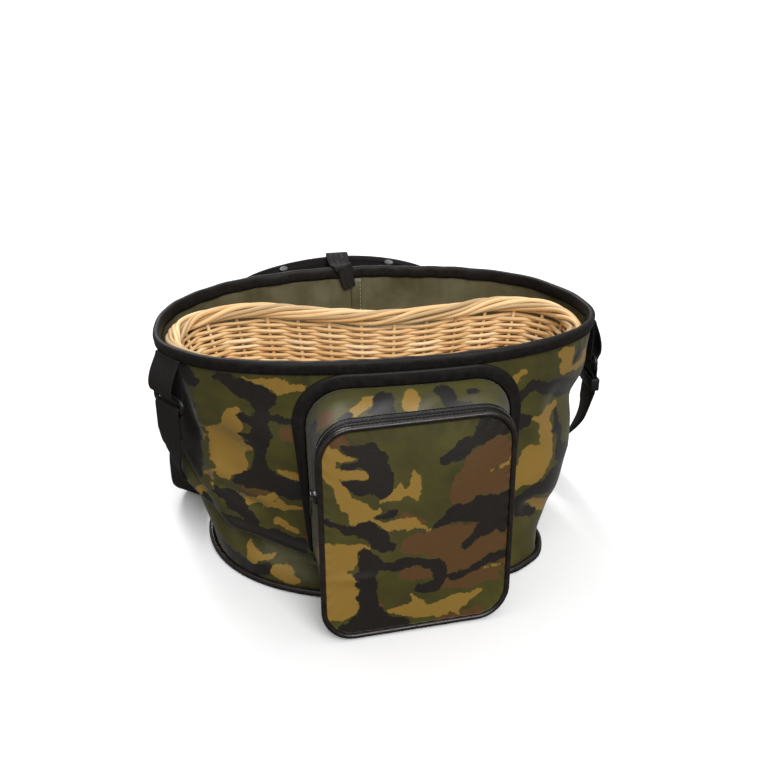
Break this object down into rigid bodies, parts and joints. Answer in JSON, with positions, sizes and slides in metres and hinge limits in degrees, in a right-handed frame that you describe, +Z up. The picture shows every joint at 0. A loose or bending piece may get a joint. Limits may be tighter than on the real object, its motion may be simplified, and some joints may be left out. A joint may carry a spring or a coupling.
{
  "type": "mushroom basket",
  "caption": "Bean-shaped willow basket in an oval camouflage cloth cover with a zipped front pocket, back grab handle and shoulder strap, for carrying picked mushrooms.",
  "frame": {"origin": "middle of the bottom panel's resting face, on the floor", "axes": "+X along the long axis towards the right of the pocket as seen, -Y the side of the pocket, +Z up"},
  "size_m": [0.4454, 0.3846, 0.2412],
  "materials": {
    "cover_cloth": "satin coated polyester, camouflage print",
    "trim_tape": "satin black tape and covered piping",
    "webbing": "black woven webbing",
    "black_plastic": "moulded black plastic",
    "metal": "bright nickel plate",
    "willow": "peeled willow, unvarnished"
  },
  "bodies": {
    "root": {"cover_base": "cover_cloth", "cover_wall": "cover_cloth", "pocket_front": "cover_cloth", "pocket_gusset": "cover_cloth", "base_piping": "trim_tape", "rim_binding": "trim_tape", "pocket_piping": "trim_tape", "pocket_zip": "trim_tape", "pocket_binding": "trim_tape", "strap_loop_left": "webbing", "strap_loop_right": "webbing", "shoulder_strap": "webbing", "carry_handle": "webbing", "centre_tab": "webbing", "strap_ring_left": "black_plastic", "strap_ring_right": "black_plastic", "strap_adjuster": "black_plastic", "zip_slider": "metal", "zip_pull": "metal", "handle_rivet_left": "metal", "handle_rivet_right": "metal", "basket_base": "willow", "basket_wall": "willow", "basket_border": "willow"}
  },
  "joints": []
}
